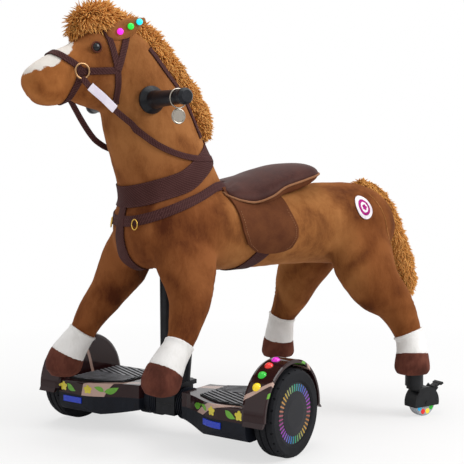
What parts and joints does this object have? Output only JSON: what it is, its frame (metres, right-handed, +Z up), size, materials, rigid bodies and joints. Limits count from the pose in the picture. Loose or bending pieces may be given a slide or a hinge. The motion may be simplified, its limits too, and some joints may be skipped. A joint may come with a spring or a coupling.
{
  "type": "ride-on toy horse",
  "caption": "Plush ride-on horse with saddle, bridle and handlebar; a self-balancing board steers and carries the front, lit swivel casters carry the hind hooves.",
  "frame": {"origin": "on the floor, under the middle of the bounding box", "axes": "+X from nose to tail, +Y to the horse's right, +Z up"},
  "size_m": [0.9882, 0.6121, 0.873],
  "materials": {
    "plush": "short pile",
    "fur": "long pile",
    "sock": "short pile",
    "hoof": "short pile",
    "webbing": "woven",
    "seat_leather": "satin",
    "suede": "suede",
    "chrome": "polished",
    "bushing": "plain",
    "black_steel": "semi-gloss",
    "zinc": "plated",
    "grip_rubber": "satin",
    "eye": "gloss",
    "lamp": "translucent",
    "gloss_shell": "gloss print",
    "matte_shell": "matte",
    "pad_rubber": "ribbed",
    "tyre": "matte",
    "hub": "black",
    "battery": "wrap",
    "circuit": "solder mask",
    "button": "gloss",
    "caster_plastic": "satin",
    "roller": "translucent"
  },
  "bodies": {
    "horse": {"steel_frame": "black_steel", "steering_bushes": "bushing", "handlebar": "black_steel", "left_grip": "grip_rubber", "right_grip": "grip_rubber", "torso": "plush", "neck": "plush", "head": "plush", "ears": "plush", "ear_lamps": "lamp", "eyes": "eye", "mane": "fur", "tail": "fur", "front_left_leg": "plush", "front_right_leg": "plush", "hind_left_leg": "plush", "hind_right_leg": "plush", "front_socks": "sock", "hind_socks": "sock", "front_hooves": "hoof", "hind_hooves": "hoof", "bridle": "webbing", "tack_rings": "chrome", "reins": "webbing", "breast_collar": "webbing", "breast_strap": "webbing", "girth": "webbing", "saddle_seat": "seat_leather", "saddle_flaps": "suede", "caster_sockets": "caster_plastic"},
    "fork": {"front_fork": "black_steel", "clamp_cap": "black_steel", "clamp_bolts": "zinc", "pivot_tube": "zinc"},
    "left_board": {"left_upper_shell": "gloss_shell", "left_lower_shell": "matte_shell", "left_foot_pad": "pad_rubber", "left_lamps": "lamp", "left_axle": "zinc", "battery_pack": "battery"},
    "left_wheel": {"left_tyre": "tyre", "left_hub": "hub", "left_light_ring": "lamp"},
    "left_caster": {"left_caster_fork": "caster_plastic"},
    "left_roller": {"left_caster_wheel": "roller"},
    "left_brake": {"left_caster_brake": "caster_plastic"},
    "right_board": {"right_upper_shell": "gloss_shell", "right_lower_shell": "matte_shell", "right_foot_pad": "pad_rubber", "right_lamps": "lamp", "right_axle": "zinc", "control_board": "circuit"},
    "right_wheel": {"right_tyre": "tyre", "right_hub": "hub", "right_light_ring": "lamp"},
    "right_caster": {"right_caster_fork": "caster_plastic"},
    "right_roller": {"right_caster_wheel": "roller"},
    "right_brake": {"right_caster_brake": "caster_plastic"},
    "button": {"power_button": "button"},
    "key_ring": {"key_ring": "chrome"}
  },
  "joints": [
    {"name": "steer", "type": "hinge", "parent": "horse", "child": "fork", "pos_m": [-0.1678, 0, 0.42], "axis": [0, 0, 1], "range_deg": [-43, 0]},
    {"name": "left_tilt", "type": "hinge", "parent": "fork", "child": "left_board", "pos_m": [-0.15131, -0.04187, 0.07], "axis": [-0.3665, 0.9304, 0], "range_deg": [-8, 8]},
    {"name": "left_wheel_spin", "type": "hinge", "parent": "left_board", "child": "left_wheel", "pos_m": [-0.07068, -0.24656, 0.085], "axis": [-0.3665, 0.9304, 0], "continuous": true},
    {"name": "left_caster_swivel", "type": "hinge", "parent": "horse", "child": "left_caster", "pos_m": [0.3502, -0.165, 0.078], "axis": [0, 0, 1], "continuous": true},
    {"name": "left_caster_roll", "type": "hinge", "parent": "left_caster", "child": "left_roller", "pos_m": [0.3742, -0.165, 0.031], "axis": [0, 1, 0], "continuous": true},
    {"name": "left_brake_press", "type": "hinge", "parent": "left_caster", "child": "left_brake", "pos_m": [0.4052, -0.165, 0.06], "axis": [0, 1, 0], "range_deg": [0, 14]},
    {"name": "right_tilt", "type": "hinge", "parent": "fork", "child": "right_board", "pos_m": [-0.18429, 0.04187, 0.07], "axis": [-0.3665, 0.9304, 0], "range_deg": [-8, 8]},
    {"name": "right_wheel_spin", "type": "hinge", "parent": "right_board", "child": "right_wheel", "pos_m": [-0.26492, 0.24656, 0.085], "axis": [-0.3665, 0.9304, 0], "continuous": true},
    {"name": "right_caster_swivel", "type": "hinge", "parent": "horse", "child": "right_caster", "pos_m": [0.2172, 0.165, 0.078], "axis": [0, 0, 1], "continuous": true},
    {"name": "right_caster_roll", "type": "hinge", "parent": "right_caster", "child": "right_roller", "pos_m": [0.2412, 0.165, 0.031], "axis": [0, 1, 0], "continuous": true},
    {"name": "right_brake_press", "type": "hinge", "parent": "right_caster", "child": "right_brake", "pos_m": [0.2722, 0.165, 0.06], "axis": [0, 1, 0], "range_deg": [0, 14]},
    {"name": "button_press", "type": "slide", "parent": "right_board", "child": "button", "axis": [0.9304, 0.3665, 0], "range_m": [-0.0015, 0], "stiffness_N_per_m": 400},
    {"name": "key_swing", "type": "hinge", "parent": "horse", "child": "key_ring", "pos_m": [-0.2558, -0.169, 0.683], "axis": [0, 1, 0], "range_deg": [-60, 60]}
  ]
}
